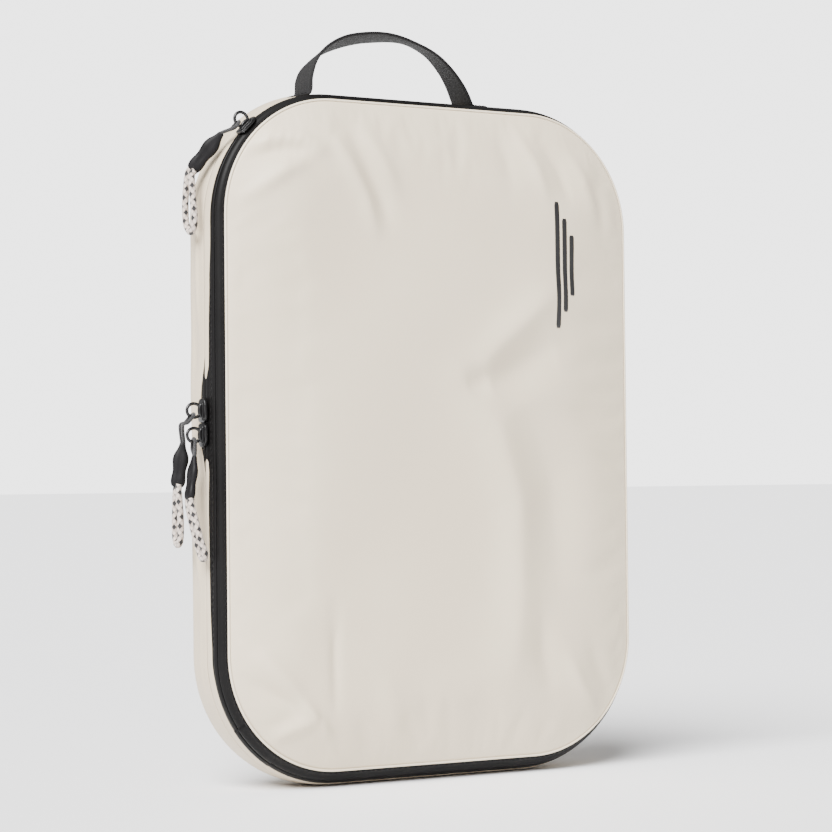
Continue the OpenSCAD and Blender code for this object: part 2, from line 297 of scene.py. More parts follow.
def woven_webbing(name, light, dark):
    """Narrow webbing: ribs across its width with a herringbone slant, painted shade between the ribs,
    and a dull sheen.
    """
    n = Nodes(name)
    along, across, _ = n.split(n.add("UVMap").outputs[0])
    zig = n.math("ABSOLUTE", n.wave(across, 0.0066))
    row = n.math("ADD", along, n.math("MULTIPLY", zig, 0.0008))
    weave = n.crossed(n.wave(row, 0.0012), n.wave(across, 0.0008))
    fuzz = n.noise(1600, 2, 0.6)
    # Painted shade in the weave: the colour goes to the dark tone where the weave's bump sinks.
    colour = n.mix(n.ramp(weave, 0.1, 0.9), dark, light)
    return n.finish(
        Base_Color=n.mix(n.ramp(fuzz, 0.5, 0.8, 0, 0.35), colour, scaled(light, 1.8)),
        Roughness=n.ramp(fuzz, 0.3, 0.7, 0.62, 0.82),
        Normal=n.bump(fuzz, 0.25, 0.00006, n.bump(weave, 0.7, 0.00022)),
        Sheen_Weight=0.04,
        Sheen_Roughness=0.5,
        Specular_IOR_Level=0.2,
    )


def moulded_rubber(name, light, dark):
    """Soft matte moulding with a fine spark texture and a little wear."""
    n = Nodes(name)
    cloud = n.noise(160, 3, 0.6)
    return n.finish(
        Base_Color=n.mix(n.ramp(cloud, 0.3, 0.7), dark, light),
        Roughness=n.ramp(cloud, 0.3, 0.7, 0.46, 0.6),
        Normal=n.bump(n.noise(2600, 2, 0.7), 0.35, 0.00005, n.bump(cloud, 0.1, 0.0002)),
        Specular_IOR_Level=0.16,
    )


def rubbed(name, base, grain, shown, bright, rough, bump, **more):
    """One colour rubbed brighter where its grain shows, such as lacquer, coil plastic or ink."""
    n = Nodes(name)
    rub = n.noise(*grain)
    height, strength, distance = bump
    return n.finish(
        Base_Color=n.mix(n.ramp(rub, *shown), base, scaled(base, bright)),
        Roughness=n.ramp(rub, 0.3, 0.7, *rough),
        Normal=n.bump(n.noise(*height) if height else n.weave(FABRIC_THREAD), strength, distance),
        **more,
    )


BRAID_STRANDS = 4.0


def braided_cord(name, pale, shade, dark, step=0.0031):
    """Braided cord: UV runs round it, then along it in metres. One strand each way is dark, and the
    grooves between strands are painted shade.
    """
    n = Nodes(name)
    u, v, _ = n.split(n.add("UVMap").outputs[0])
    around, along = n.math("MULTIPLY", u, BRAID_STRANDS), n.math("DIVIDE", v, step)
    right, left = n.math("ADD", around, along), n.math("SUBTRACT", around, along)

    def every(value, count, which):
        turned = n.math("FLOORED_MODULO", n.math("FLOOR", value), count)
        return n.math("COMPARE", turned, which, 0.5 if count > 2 else 0.4)

    def dome(value):
        part = n.math("SUBTRACT", n.math("FRACT", value), 0.5)
        return n.math("SUBTRACT", 1.0, n.math("MULTIPLY", n.math("ABSOLUTE", part), 2.0))

    flecks = [
        n.math("MULTIPLY", every(right, BRAID_STRANDS, 2.0 * k), every(left, 2.0, 1.0 * k))
        for k in (0, 1)
    ]
    strand = n.math("POWER", n.math("MULTIPLY", dome(right), dome(left)), 0.4)
    fuzz = n.noise(2200, 3, 0.7)
    # Painted shade in the braid: each strand's crown is pale and the grooves between strands take the
    # shade colour.
    cloth = n.mix(n.ramp(strand, 0.05, 0.65), shade, pale)
    cloth = n.mix(n.ramp(fuzz, 0.35, 0.75, 0, 0.35), cloth, shade)
    return n.finish(
        Base_Color=n.mix(n.math("MAXIMUM", *flecks), cloth, dark),
        Roughness=0.78,
        Normal=n.bump(fuzz, 0.3, 0.00008, n.bump(strand, 0.8, 0.0003)),
        Sheen_Weight=0.3,
    )


CREAM, CREAM_DARK = rgb(218, 204, 180), rgb(213, 198, 173)
# The wall's cream is the panels' fabric painted darker: painted shade on the side wall, the lid facing
# and the back piping.
WALL, WALL_DARK = rgb(209, 194, 170), rgb(198, 182, 157)
panel_cloth = coated_fabric("panel_fabric", CREAM, CREAM_DARK)
shaded_wall_cloth = coated_fabric("gusset_fabric", WALL, WALL_DARK)
# The turned edge's fabric is the panel's cream painted lighter and glossier: a painted highlight along
# the front edge.
trim_cloth_painted_highlight = coated_fabric("edge_trim", rgb(226, 213, 190), rgb(220, 206, 182), rough=0.42)
lining_cloth = coated_fabric("lining_fabric", rgb(178, 174, 168), rgb(168, 164, 157), 0.0006, 0.6)
tape_cloth = tape_fabric("zipper_tape", rgb(14, 13, 13), rgb(10, 9, 9), 0.5)
binding_cloth = tape_fabric("binding_tape", rgb(58, 56, 56), rgb(48, 46, 46), 0.7)
webbing_cloth = woven_webbing("webbing", rgb(20, 19, 20), rgb(9, 8, 9))
rubber = moulded_rubber("pull_rubber", rgb(19, 17, 19), rgb(13, 12, 13))
metal = rubbed(
    "slider_metal", rgb(13, 12, 13), (240, 4, 0.65), (0.55, 0.75, 0, 0.5), 2.6, (0.28, 0.42),
    ((900, 2, 0.5), 0.15, 0.00005), Metallic=0.35, Coat_Weight=0.3, Coat_Roughness=0.25,
)
coil_plastic = rubbed(
    "zipper_coil", rgb(18, 17, 18), (2000, 2, 0.6), (0.4, 0.7, 0, 0.6), 1.8, (0.32, 0.46),
    ((2000, 2, 0.6), 0.15, 0.00004),
)
ink = rubbed(
    "print_ink", rgb(16, 15, 16), (1200, 3, 0.7), (0.55, 0.8, 0, 0.5), 2.2, (0.45, 0.6),
    (None, 0.2, 0.00005),
)
fleck_cord = braided_cord("fleck_cord", rgb(202, 189, 178), rgb(140, 126, 116), rgb(14, 12, 14))
link_cord = braided_cord("link_cord", rgb(20, 18, 20), rgb(12, 11, 12), rgb(14, 12, 14), 0.0012)
dark_thread = tape_fabric("dark_thread", rgb(28, 26, 26), rgb(20, 18, 18), 0.6)


# ---------------- mesh helpers
def new_mesh(name, points, faces, *materials):
    """A mesh from points in millimetres."""
    mesh = bpy.data.meshes.new(name)
    corners = (np.asarray(points, float) * MM).tolist()
    mesh.from_pydata(corners, [], [list(map(int, face)) for face in faces])
    for material in materials:
        mesh.materials.append(material)
    return mesh


def new_object(name, points, faces, material, smooth=True):
    mesh = new_mesh(name, points, faces, material)
    mesh.validate()
    face_outwards(mesh)
    if smooth:
        mesh.shade_smooth()
    return add_object(name, mesh)


def face_outwards(mesh):
    work = bmesh.new()
    work.from_mesh(mesh)
    bmesh.ops.recalc_face_normals(work, faces=work.faces)
    work.to_mesh(mesh)
    work.free()


def lattice_faces(rows, columns, wrap_rows, wrap_columns):
    faces = []
    for i in range(rows if wrap_rows else rows - 1):
        for j in range(columns if wrap_columns else columns - 1):
            i2, j2 = (i + 1) % rows, (j + 1) % columns
            faces.append((i * columns + j, i2 * columns + j, i2 * columns + j2, i * columns + j2))
    return faces


def loft(name, rows, material, wrap_rows=False, wrap_columns=True, caps=False):
    """A surface through rows of points, each row along the outline."""
    grid = np.array(rows, float)
    m, n = grid.shape[:2]
    faces = lattice_faces(m, n, wrap_rows, wrap_columns)
    if caps and not wrap_columns:
        faces += [range(0, m * n, n), range(m * n - 1, 0, -n)]
    return new_object(name, grid.reshape(-1, 3), faces, material)


def capped(name, rings, material):
    """A closed shape through rings of points, with a flat face at each end."""
    grid = np.array(rings, float)
    m, n = grid.shape[:2]
    faces = lattice_faces(m, n, False, True) + [range(n), range(m * n - 1, m * n - n - 1, -1)]
    return new_object(name, grid.reshape(-1, 3), faces, material)


def sweep(name, section, material, indices=None):
    """A closed section of [depth, off] pairs swept round the case, or along some of the outline."""
    rows = [skin(s, off) for s, off in section]
    if indices is not None:
        rows = [row[indices] for row in rows]
    return loft(name, rows, material, wrap_rows=True, wrap_columns=indices is None, caps=True)


def modify(obj, kind, **values):
    modifier = obj.modifiers.new(kind.lower(), kind)
    for key, value in values.items():
        setattr(modifier, key, value)
    return modifier


def apply_modifiers(obj):
    graph = bpy.context.evaluated_depsgraph_get()
    graph.update()
    old, obj_mesh = obj.data, bpy.data.meshes.new_from_object(obj.evaluated_get(graph))
    obj.modifiers.clear()
    obj.data = obj_mesh
    bpy.data.meshes.remove(old)
    obj_mesh.shade_smooth()


def join(name, objects):
    """The objects made into one; they share one material."""
    mesh, work = new_mesh(name, [], [], objects[0].data.materials[0]), bmesh.new()
    for obj in objects:
        work.from_mesh(obj.data)
        bpy.data.objects.remove(obj)
    work.to_mesh(mesh)
    work.free()
    mesh.shade_smooth()
    return add_object(name, mesh)


def attach(obj, body, node=None, also=()):
    """The object rides on a body and stands for its CAD nodes, which are hidden."""
    if body is not None:
        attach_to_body(obj, body)
    nodes = [n for n in (node, *also) if n]
    if nodes:
        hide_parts(*nodes)


def unit(vectors):
    return vectors / np.linalg.norm(vectors, axis=-1, keepdims=True)


def distances(path):
    """How far along a path each of its points is."""
    return np.concatenate([[0], np.cumsum(np.linalg.norm(np.diff(path, axis=0), axis=1))])


def at_distance(where, run, values):
    """The values, known at the distances run, at other distances along the same path."""
    return np.stack([np.interp(where, run, column) for column in values.T], axis=-1)


def smooth_path(points, spacing):
    """A Catmull-Rom curve through the points, resampled to an even spacing in millimetres."""
    p = np.array(points, float)
    p = np.vstack([2 * p[0] - p[1], p, 2 * p[-1] - p[-2]])
    t = np.linspace(0, 1, 16, endpoint=False)[:, None]
    fine = [
        0.5 * (2 * b + (c - a) * t + (2 * a - 5 * b + 4 * c - d) * t**2 + (3 * b - a - 3 * c + d) * t**3)
        for a, b, c, d in zip(p, p[1:], p[2:], p[3:])
    ]
    fine = np.vstack([*fine, p[-2:-1]])
    run = distances(fine)
    count = max(3, int(round(run[-1] / spacing)) + 1)
    return at_distance(np.linspace(0, run[-1], count), run, fine)


def sides_along(path, hint):
    """Two directions across a path at each of its points, carried along without twist."""
    tangent = unit(np.gradient(path, axis=0))
    side, sides = np.array(hint, float), []
    for t in tangent:
        side = unit(side - t * (side @ t))
        sides.append(side)
    return np.array(sides), np.cross(tangent, sides)


def tube(name, path, radius, material, sides=12, hint=(1, 0, 0), wave=None):
    """A round tube with closed ends and UVs that run round it and along it in metres."""
    run = distances(path)
    angle = np.linspace(0, 2 * math.pi, sides, endpoint=False)
    rings = []
    for centre, side, normal, along in zip(path, *sides_along(path, hint), run):
        r = radius * (1 + (wave(angle, along)[:, None] if wave else 0))
        rings.append(centre + r * (np.cos(angle)[:, None] * side + np.sin(angle)[:, None] * normal))
    grid = np.array(rings).reshape(-1, 3)
    count, last = len(grid), len(grid) - sides
    faces = lattice_faces(len(path), sides, False, True)
    faces += [(count, k, (k + 1) % sides) for k in range(sides)]
    faces += [(count + 1, last + (k + 1) % sides, last + k) for k in range(sides)]
    mesh = new_mesh(name, np.vstack([grid, path[:1], path[-1:]]), faces, material)
    uv = mesh.uv_layers.new(name="UVMap")
    for polygon in mesh.polygons:
        ks = [v % sides for v in polygon.vertices if v < count]
        wraps = max(ks) - min(ks) > sides / 2
        for loop in polygon.loop_indices:
            v = mesh.loops[loop].vertex_index
            if v >= count:
                uv.data[loop].uv = (0, run[count - v] * MM)
                continue
            k = v % sides
            whole = sides if wraps and k < sides / 2 else 0
            uv.data[loop].uv = ((k + whole) / sides, run[v // sides] * MM)
    mesh.shade_smooth()
    return add_object(name, mesh)


# One stitch's stations: how far along it, how thick and how high, as shares of its sizes.
STITCH = [
    (-0.5, 0.15, -0.2), (-0.36, 0.8, 0.25), (0, 1, 0.42), (0.36, 0.8, 0.25), (0.5, 0.15, -0.2),
]
STITCH_SIDES, STITCH_SINK = 6, 0.1


def stitches(name, path, outward, material, pitch=3.2, length=2.3, width=0.55, closed=True):
    """A row of short raised thread loops along a path; outward holds the surface's normals."""
    if closed:
        path, outward = np.vstack([path, path[:1]]), np.vstack([outward, outward[:1]])
    run = distances(path)
    count = int(run[-1] / pitch)
    turn = 2 * math.pi * np.arange(STITCH_SIDES) / STITCH_SIDES
    cos, sin = np.cos(turn)[:, None], np.sin(turn)[:, None]
    points, faces = [], []
    for middle in (np.arange(count) + 0.5) * run[-1] / count:
        near = np.clip([middle - 0.5, middle + 0.5], 0, run[-1])
        ahead = unit(np.diff(at_distance(near, run, path), axis=0)[0])
        up = at_distance(middle, run, outward)
        up = unit(up - ahead * (up @ ahead))
        across = np.cross(ahead, up)
        base, rows = len(points), len(STITCH)
        for along, thick, rise in STITCH:
            centre = at_distance(np.clip(middle + along * length, 0, run[-1]), run, path)
            centre = centre + up * (rise * width - STITCH_SINK)
            points += list(centre + width / 2 * thick * (cos * across + sin * up))
        faces += [tuple(base + v for v in f) for f in lattice_faces(rows, STITCH_SIDES, False, True)]
        last = len(points) - 1
        faces += [range(base, base + STITCH_SIDES), range(last, last - STITCH_SIDES, -1)]
    return new_object(name, points, faces, material)


# ---------------- pulls and cord loops
PULL_HALF = [1.5, 1.8, 2.5, 3.6, 4.1, 4.2, 3.9, 3.5, 3.4, 3.7, 3.9, 3.7, 2.8]
PULL_THICK = [2.4, 2.6, 3.0, 3.6, 4.2, 4.4, 4.2, 3.8, 3.7, 4.1, 4.4, 4.3, 3.6]
CORD_D, LINK_D = 3.4, 1.8
SOCKET = 2.6  # how far a cord's ends go into the grip

# For each pull: the point that its link turns on, the link's knee, the grip's two ends, the
# direction of the grip's width, and the route of the cord loop.
PULLS = {
    "upper": dict(
        pin=(-134.8, -6, 194.55), knee=(-140.4, -3.2, 188.5), top=(-136.8, 3, 180),
        end=(-139.2, 5, 157), wide=(0.86, -0.51, 0),
        route=[
            (-139.2, 3.6, 156.2), (-139.2, 2.8, 151), (-139, 2, 144), (-139, 1.6, 137),
            (-139, 2, 131.5), (-139, 3.2, 128.5), (-139, 5, 127.5), (-139, 6.8, 128.5),
            (-139, 8, 131.5), (-139, 8.4, 137), (-139, 8, 144), (-139.2, 7.2, 151),
            (-139.2, 6.4, 155.8),
        ],
    ),
    "lower": dict(
        pin=(-134.8, -6, 181.95), knee=(-134.9, -6.3, 178), top=(-135, -7, 173.2),
        end=(-138.9, -8.5, 150.6), wide=(0, 1, 0),
        route=[
            (-138.9, -10.2, 149), (-138.5, -12.5, 144), (-137.5, -14.5, 137), (-136, -15.5, 130),
            (-134, -15.5, 124.5), (-133.2, -14.5, 121.8), (-133, -12.5, 120.6), (-133, -10.2, 121.2),
            (-133.5, -8.8, 124.5), (-134.8, -8, 130), (-136.5, -7.5, 137), (-138, -7, 144),
            (-138.8, -6.9, 149.6),
        ],
    ),
    "compression": dict(
        pin=(-112.36, -15.6, 344.89), knee=(-115.5, -15.6, 341.7), top=(-119.8, -11, 339.3),
        end=(-132.1, 0, 320.3), wide=(0.65, -0.39, -0.65),
        route=[
            (-133, -2.2, 318), (-133.6, -3.5, 313.5), (-134, -5.5, 305), (-134, -7, 297),
            (-134, -7, 292.5), (-134, -5.6, 289.4), (-134, -3, 288.2), (-134, -0.5, 289.2),
            (-134.5, 1.5, 292.5), (-134.5, 2.5, 297), (-134.5, 2.5, 305), (-134, 2, 313),
            (-133.2, 1.5, 319.3),
        ],
    ),
}
for part in PULLS.values():
    part.update({key: np.array(value, float) for key, value in part.items()})
    part["axis"] = axis = unit(part["end"] - part["top"])
    part["wide"] = unit(part["wide"] - axis * (part["wide"] @ axis))
    part["thin"] = np.cross(axis, part["wide"])


def braid_wave(angle, along):
    """Strands of the braid standing a little proud of the cord."""
    lay = 2 * math.pi * along / 4.6
    return 0.05 * np.abs(np.sin(3 * angle + lay)) * np.abs(np.sin(3 * angle - lay))


for name, part in PULLS.items():
    route, into = part["route"], part["axis"] * SOCKET
    path = smooth_path([route[0] - into, *route, route[-1] - into], 0.5)
    cord = tube(name + "_cord", path, CORD_D / 2, fleck_cord, sides=20, wave=braid_wave)
    attach(cord, name + "_pull", name + "_cord_loop")


def make_pull(name, part):
    """A moulded grip: a narrow neck, a swell, a waist and a flared end with a shallow groove."""
    axis = part["end"] - part["top"]
    stations = np.linspace(0, 1, 44)
    half, thick = (
        soften(np.interp(stations, np.linspace(0, 1, len(sizes)), sizes), [1, 2, 3, 2, 1])
        for sizes in (PULL_HALF, PULL_THICK)
    )
    close = np.clip(np.minimum(stations, 1 - stations) / 0.03, 0, 1) ** 0.5
    angle = np.linspace(0, 2 * math.pi, 36, endpoint=False)
    cos, sin = np.cos(angle), np.sin(angle)
    rings = []
    for t, h, k, c in zip(stations, half, thick / 2, close):
        shrink = 0.55 + 0.45 * c
        u = h * shrink * np.sign(cos) * np.abs(cos) ** 0.75
        groove = 0.32 * math.exp(-(((t - 0.55) / 0.3) ** 4)) * np.exp(-((u / 0.9) ** 2))
        v = (k * shrink - groove) * np.sign(sin) * np.abs(sin) ** 0.8
        rings.append(part["top"] + axis * t + u[:, None] * part["wide"] + v[:, None] * part["thin"])
    attach(capped(name + "_grip", rings, rubber), name + "_pull", name + "_pull")


def make_link(name, part):
    """The braided link: out of the grip, round through the slider's ring and back in."""
    pin, knee, wide = part["pin"], part["knee"], part["wide"]
    side = np.array([0, 1.0, 0])
    neck = 0.5 * (wide if abs(wide[1]) > 0.4 else side)
    neck = neck * np.sign(neck[1])
    along = (knee - pin) * (1, 0, 1)
    reach = np.linalg.norm(along)
    bent = reach > 6.5  # the knee is past the ring
    # Round the ring's wire, then apart until the legs are past the ring at any swing.
    legs = ((0.5, 1.15), (1.4, 1.75), (2.8, 1.9), (6.1 if bent else 5.4, 1.95))
    route = []
    for way in (1, -1):
        half = [part["top"] + part["axis"] * 2.5 + way * neck, part["top"] + way * neck * 1.2]
        half += [knee + way * side * 1.6] if bent else []
        half += [pin + along / reach * u + way * side * w for u, w in reversed(legs)]
        route += half + [pin] if way == 1 else half[::-1]
    link = tube(name + "_link", smooth_path(route, 0.4), LINK_D / 2, link_cord, sides=10)
    attach(link, name + "_pull", name + "_pull_link")


# ---------------- sliders
def bevelled_prism(name, outline, low, high, bevel, material):
    """An outline in the slider's own plane raised from low to high, with rounded edges."""
    n = len(outline)
    points = [(x, y, low) for x, y in outline] + [(x, y, high) for x, y in outline]
    faces = [list(reversed(range(n))), [n + i for i in range(n)]]
    faces += [(i, (i + 1) % n, n + (i + 1) % n, n + i) for i in range(n)]
    obj = new_object(name, points, faces, material)
    sharp = math.radians(40)
    modify(obj, "BEVEL", width=bevel * MM, segments=3, limit_method="ANGLE", angle_limit=sharp)
    apply_modifiers(obj)
    return obj


def rounded(corners, radius, steps=6):
    """A polygon with its corners rounded by quadratic curves."""
    points = []
    c = [np.array(p, float) for p in corners]
    for i, p in enumerate(c):
        beside = (c[i - 1], c[(i + 1) % len(c)])
        a, b = (p + unit(q - p) * min(radius, np.linalg.norm(q - p) / 2) for q in beside)
        points += [(1 - t) ** 2 * a + 2 * t * (1 - t) * p + t**2 * b for t in np.linspace(0, 1, steps)]
    return points


WING_LOW, WING_HIGH = 0.5, 2.05
RING_RADIUS, RING_WIRE = 3.6, 0.85


def make_slider(name, pin, place, turned):
    """A coil slider: two wings, a post between them and, level with the pin, a ring to pull by."""
    ring_out = (place.inverted() @ (Vector(pin) * MM)).z / MM
    way = -1 if turned else 1
    side = [(-6.1, 3), (-4.2, 4.4), (3, 4.4), (6.1, 2.6)]
    outer = rounded([(x, -y) for x, y in side] + side[::-1], 1.4)
    inner = rounded([(-5.4, -2.4), (5.4, -2.4), (5.4, 2.4), (-5.4, 2.4)], 1.1)
    post = rounded([(-4, -0.2), (4, -0.2), (4, 0.2), (-4, 0.2)], 0.19, 3)
    crown = rounded([(-4.6, -2.2), (4, -2), (4, 2), (-4.6, 2.2)], 1.2)
    parts = [
        bevelled_prism("wing", outer, WING_LOW, WING_HIGH, 0.45, metal),
        bevelled_prism("crown", crown, WING_HIGH - 0.3, WING_HIGH + 0.5, 0.35, metal),
        bevelled_prism("inner", inner, -5.0, -3.9, 0.35, metal),
        bevelled_prism("post", post, -4.1, WING_LOW + 0.3, 0.05, metal),
    ]
    turn = np.linspace(0, 2 * math.pi, 49)
    ring = np.stack([
        RING_RADIUS * np.cos(turn), 0 * turn,
        ring_out + RING_RADIUS * np.sin(turn) * np.where(np.sin(turn) > 0, 1.05, 1.12),
    ], axis=1)
    parts.append(tube("ring", ring, RING_WIRE, metal, sides=14, hint=(0, 1, 0)))
    feet = [(-3.2, 0, 0.9), (-2.6, 0, 2.6), (0, 0, 3.2), (2.6, 0, 2.6), (3.2, 0, 0.9)]
    parts.append(tube("foot", smooth_path(feet, 0.5), 1.0, metal, sides=12, hint=(0, 1, 0)))
    slider = join(name + "_body", parts)
    slider.data.transform(Matrix.Diagonal((way, 1, 1, 1)))
    slider.data.transform(place)
    face_outwards(slider.data)
    attach(slider, name, name, (name + "_post",))


def turned_place(x, y, z, degrees):
    """From an object's own axes, turned about the y axis, to a place in millimetres."""
    return Matrix.Translation(Vector((x, y, z)) * MM) @ Matrix.Rotation(math.radians(degrees), 4, "Y")


def slider_places():
    """For each slider: where it stands, and whether it faces the other way."""
    places = {}
    for side, turned in (("upper", False), ("lower", True)):
        z = sum(corner[2] for corner in node_box(side + "_slider")) / 2
        places[side] = turned_place(-size_at(ACCESS_S)[0], ACCESS_S + front_y, z, -90), turned
    hw, hh, radius, middle = size_at(COMPRESSION_S)
    inward = radius * (1 - math.sqrt(0.5))
    x, z = inward - hw, middle + hh - inward
    places["compression"] = turned_place(x, COMPRESSION_S + front_y, z, -45), False
    return places


PLACES = slider_places()
for name, part in PULLS.items():
    make_slider(name + "_slider", part["pin"], *PLACES[name])
    make_pull(name, part)
    make_link(name, part)


# ---------------- zippers
def tape_section(start, stop, ridge_at, lift, ridge_high):
    """A tape's closed section: a soft raised ridge over the coil, and rounded edges."""
    s = np.linspace(start, stop, 15)
    ridge = ridge_high * np.exp(-(((s - ridge_at) / 1.7) ** 4))
    edge = 0.22 * (1 - np.clip(np.minimum(s - start, stop - s) / 0.4, 0, 1)) ** 2
    top = [[a, lift + r - e] for a, r, e in zip(s, ridge, edge)]
    base = [[a, lift + r * 0.6 - 0.75] for a, r in zip(s[::-2], ridge[::-2])]
    return top + base


def coil(name, s_middle, indices, material):
    """The coil behind a tape: a flattened helix all along the zipper line."""
    closed = indices is None
    line = np.arange(RIM_COUNT + 1) % RIM_COUNT if closed else np.array(indices)
    middle, outward = skin(s_middle, -2.0)[line], RIM_NORMAL[line]
    run = distances(middle)
    pitch, per_turn, sides, wire = 2.4, 8, 5, 0.36
    count = int(run[-1] / pitch) * per_turn + (0 if closed else 1)
    at = np.linspace(0, run[-1], count, endpoint=not closed)
    angle = 2 * math.pi * np.arange(count)[:, None] / per_turn
    centre, out = at_distance(at, run, middle), at_distance(at, run, outward)
    path = centre + 0.72 * np.cos(angle) * (0, 1, 0) + 0.8 * np.sin(angle) * out
    tangent = unit(np.gradient(path, axis=0))
    radial = path - centre
    radial = unit(radial - tangent * (radial * tangent).sum(axis=1)[:, None])
    other = np.cross(tangent, radial)
    turn = 2 * math.pi * np.arange(sides) / sides
    points = [path + wire * (math.cos(a) * radial + math.sin(a) * other) for a in turn]
    faces = lattice_faces(count, sides, closed, True)
    return new_object(name, np.stack(points, axis=1).reshape(-1, 3), faces, material)


def make_zippers():
    parts = [
        ("compression_band_front", 0.35, COMPRESSION_S - GUTTER, COMPRESSION_S - 1.3, "lid_front",
         "compression_tape_front", None),
        ("compression_band_rear", COMPRESSION_S + GUTTER, 11.2, COMPRESSION_S + 1.3, "lid_frame",
         "compression_tape_rear", None),
        ("access_band_front", 11.3, ACCESS_S - GUTTER, ACCESS_S - 1.3, "lid_frame",
         "access_tape_front", OPEN),
        ("access_band_rear", ACCESS_S + GUTTER, 21.4, ACCESS_S + 1.3, "rear_case",
         "access_tape_rear", OPEN),
    ]
    for name, start, stop, ridge_at, body, node, indices in parts:
        lift, high = (-0.45, 0.3) if name.startswith("access") else (0.0, 0.62)
        band = sweep(name, tape_section(start, stop, ridge_at, lift, high), tape_cloth, indices)
        attach(band, body, node)
        teeth = coil(node.replace("tape", "teeth"), ridge_at, indices, coil_plastic)
        attach(teeth, body, node.replace("tape", "coil"))


make_zippers()


# ---------------- stitched edges
def bead(name, s_middle, off_middle, s_half, off_half, material):
    """A soft round bead sewn along the outline."""
    angle = np.linspace(0, 2 * math.pi, 14, endpoint=False)
    section = [(s_middle + s_half * math.cos(a), off_middle + off_half * math.sin(a)) for a in angle]
    return sweep(name, section, material)


def stitch_row(name, s, off, material, body, slot, indices=None, **kw):
    path, normals = skin(s, off), RIM_NORMAL
    if indices is not None:
        path, normals = path[indices], normals[indices]
    row = stitches(name, path, normals, material, closed=indices is None, **kw)
    return attach(row, body)


# The bead carries the painted highlight: its fabric is lighter than the panel's.
edge = bead("front_turned_edge", 0.0, -0.45, 0.5, 0.55, trim_cloth_painted_highlight)
attach(edge, "lid_front", "front_edge_trim")
piping = bead("back_seam_piping", 40.4, -0.5, 1.1, 1.05, shaded_wall_cloth)
attach(piping, "rear_case")
stitch_row("front_tape_stitches", 1.35, 0.12, dark_thread, "lid_front", "zipper_tape", width=0.42)


def binding(name, s, off, material):
    """Binding tape folded over a raw seam inside the case."""
    half = [(1.3, 0), (1.45, -1.6), (1.2, -3.1), (0.5, -3.7)]
    section = [(-a, b) for a, b in half] + half[::-1]
    return sweep(name, [(s + a, off + b) for a, b in section], material)


for name, s, off, body, node in (
    ("back_seam_binding", 38.2, -2.4, "rear_case", "rear_seam_binding"),
    ("lid_seam_tape", 10.4, -2.9, "lid_frame", "lid_seam_binding"),
):
    attach(binding(name, s, off, binding_cloth), body, node)


# ---------------- crowned fabric panels
GRID = 112
PANEL_OFF = -0.9
PANEL_THICK, WALL_THICK, BELLOWS_THICK = 1.0, 0.5, 0.45
FOLD_GAIN = 2.3
RIM_HOLD = 0.94  # the level from which the rim holds the pressed fabric
MOST_PRESSED = 1.6


def panel_grid(s):
    """A square lattice inside the outline: x, z and the level, 0 at the centre and 1 at the rim."""
    ring = skin(s, PANEL_OFF)[:, [0, 2]]
    straights = np.array([TOP_STEPS, SIDE_STEPS, TOP_STEPS])
    mids = ARC_STEPS // 2 + np.cumsum([0, *(straights + ARC_STEPS + 1)])
    sides = []
    for k in range(4):
        stop = mids[(k + 1) % 4] + (RIM_COUNT if k == 3 else 0)
        piece = ring[np.arange(mids[k], stop + 1) % RIM_COUNT]
        run = distances(piece)
        sides.append((piece, run / run[-1]))

    def rim(side, t):
        piece, run = sides[side]
        return np.stack([np.interp(t, run, piece[:, 0]), np.interp(t, run, piece[:, 1])], axis=-1)

    line = np.linspace(-1, 1, GRID + 1)
    u, v = np.meshgrid(line, line, indexing="ij")
    level = np.maximum(np.abs(u), np.abs(v))
    safe = np.maximum(level, 1e-9)
    a, b = u / safe, v / safe
    spots = np.where(
        (np.abs(v) >= np.abs(u))[..., None],
        np.where((v > 0)[..., None], rim(0, (1 - a) / 2), rim(2, (a + 1) / 2)),
        np.where((u < 0)[..., None], rim(1, (1 - b) / 2), rim(3, (b + 1) / 2)),
    )
    centre = np.array([0.0, ring[:, 1].mean()])
    bent = level**0.92
    flat = centre + (spots - centre) * bent[..., None]
    return flat[..., 0], flat[..., 1], level


def edge_distance(x, z, s):
    """How far each point is inside the outline, in millimetres."""
    hw, hh, radius, middle = size_at(s)
    qx = np.abs(x) - (hw + PANEL_OFF - radius)
    qz = np.abs(z - middle) - (hh + PANEL_OFF - radius)
    outside = np.hypot(np.maximum(qx, 0), np.maximum(qz, 0))
    return np.maximum(radius - outside - np.minimum(np.maximum(qx, qz), 0), 0)


def smoothstep(low, high, value):
    t = np.clip((value - low) / (high - low), 0, 1)
    return t * t * (3 - 2 * t)


def fold(x, z, route, height, width, sharp=1.6):
    """A ridge (or, with a negative height, a valley) along a route, fading at both ends."""
    best = np.full(x.shape, 1e9)
    fade = np.zeros(x.shape)
    route = np.array(route, float)
    total = np.linalg.norm(np.diff(route, axis=0), axis=1).sum()
    gone = 0.0
    for a, b in zip(route, route[1:]):
        long = np.linalg.norm(b - a)
        t = np.clip(((x - a[0]) * (b[0] - a[0]) + (z - a[1]) * (b[1] - a[1])) / long**2, 0, 1)
        gap = np.hypot(x - a[0] - t * (b[0] - a[0]), z - a[1] - t * (b[1] - a[1]))
        along = (gone + t * long) / total
        near = gap < best
        best = np.where(near, gap, best)
        fade = np.where(near, np.sin(np.clip(along * 0.9 + 0.05, 0, 1) * math.pi) ** 0.7, fade)
        gone += long
    return height * fade * np.exp(-((best / width) ** sharp))


